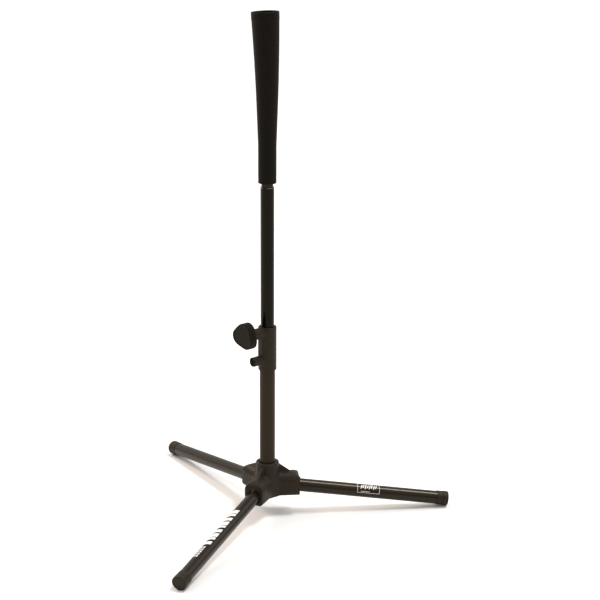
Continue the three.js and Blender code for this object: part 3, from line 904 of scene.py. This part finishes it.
# ---- Part's own pieces that stay ----
STAYING = {
    "hub_washer": ZINC,
    "hub_bolt": ZINC,
    "tube_plug": NYLON,
    "clamp_pad": NYLON,
    "stem_stop": NYLON,
    "upper_tube_plug": CAP_RUBBER,
}
for node, material in STAYING.items():
    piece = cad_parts[node]
    for slot in piece.material_slots:
        slot.material = material


# ---- Floor, light and camera ----
def floor_finish():
    finish = Finish("floor")
    cloud = finish.grain(2.0, 2.0)
    return finish.shade({"Base Color": finish.mix(cloud, grey(0.90), grey(0.93)), "Roughness": 0.9})


FLOOR_REACH = 180.0  # metres from the middle to each side
FLOOR_LINES = 25
floor_mesh = bpy.data.meshes.new("floor")
floor_line = np.linspace(-FLOOR_REACH, FLOOR_REACH, FLOOR_LINES)
floor_x, floor_y = np.meshgrid(floor_line, floor_line)
floor_points = np.stack((floor_x, floor_y, np.zeros_like(floor_x)), -1).reshape(-1, 3)
floor_mesh.from_pydata(floor_points.tolist(), [], grid_quads(FLOOR_LINES, FLOOR_LINES).tolist())
floor_mesh.materials.append(floor_finish())
floor = bpy.data.objects.new("floor", floor_mesh)
bpy.context.scene.collection.objects.link(floor)

scene = bpy.context.scene
scene.view_settings.view_transform = "Standard"
world = bpy.data.worlds.new("room")
world.use_nodes = True
room = world.node_tree.nodes["Background"].inputs
room["Color"].default_value = (1.0, 0.98, 0.95, 1.0)
room["Strength"].default_value = 0.28
scene.world = world


POST_MIDDLE = Vector((-0.07, 0.0, 0.35))  # in metres


def softbox(name, place, width, depth, power, colour=(1.0, 0.98, 0.95)):
    """A rectangular lamp at place, in metres, facing the middle of the post."""
    lamp = bpy.data.lights.new(name, "AREA")
    lamp.shape = "RECTANGLE"
    lamp.size = width
    lamp.size_y = depth
    lamp.energy = power
    lamp.color = colour
    holder = bpy.data.objects.new(name, lamp)
    scene.collection.objects.link(holder)
    holder.location = place
    aim = POST_MIDDLE - Vector(place)
    holder.rotation_euler = aim.to_track_quat("-Z", "Y").to_euler()


softbox("left_back", (-1.9, 1.5, 2.3), 1.4, 1.2, 52.0, (1.0, 0.80, 0.68))
softbox("left_wall", (-3.2, 1.8, 0.8), 2.6, 1.2, 7.0, (1.0, 0.80, 0.66))
softbox("right_side", (2.3, 0.8, 1.8), 0.7, 1.2, 3.5)


def far_lamp(name, strength, spread, towards):
    """Even light over the whole floor, from a round patch of sky spread degrees across."""
    lamp = bpy.data.lights.new(name, "SUN")
    lamp.energy = strength
    lamp.angle = math.radians(spread)
    lamp.color = (1.0, 0.985, 0.96)
    holder = bpy.data.objects.new(name, lamp)
    scene.collection.objects.link(holder)
    holder.rotation_euler = Vector(towards).to_track_quat("Z", "Y").to_euler()


far_lamp("key", 1.6, 16.0, (0.342, 0.03, 0.936))
far_lamp("sky", 1.6, 150.0, (0.1, 0.2, 1.0))

CAMERA_PLACE = (-242.8, -2204.0, 1035.7)  # in millimetres
CAMERA_AZIMUTH = math.radians(-5.772)
CAMERA_ELEVATION = math.radians(16.586)
CAMERA_ROLL = math.radians(0.367)
camera_data = bpy.data.cameras.new("camera")
camera_data.lens = 84.64
camera_data.sensor_width = 36.0
camera_data.clip_end = 400.0
camera = bpy.data.objects.new("camera", camera_data)
scene.collection.objects.link(camera)
back = Vector(
    (
        math.sin(CAMERA_AZIMUTH) * math.cos(CAMERA_ELEVATION),
        -math.cos(CAMERA_AZIMUTH) * math.cos(CAMERA_ELEVATION),
        math.sin(CAMERA_ELEVATION),
    )
)
right = Vector((0, 0, 1)).cross(back).normalized()
up = back.cross(right)
level_right = right * math.cos(CAMERA_ROLL) + up * math.sin(CAMERA_ROLL)
level_up = up * math.cos(CAMERA_ROLL) - right * math.sin(CAMERA_ROLL)
camera.matrix_world = Matrix.Translation(Vector(CAMERA_PLACE) * MM) @ Matrix(
    (level_right, level_up, back)
).transposed().to_4x4()
scene.camera = camera
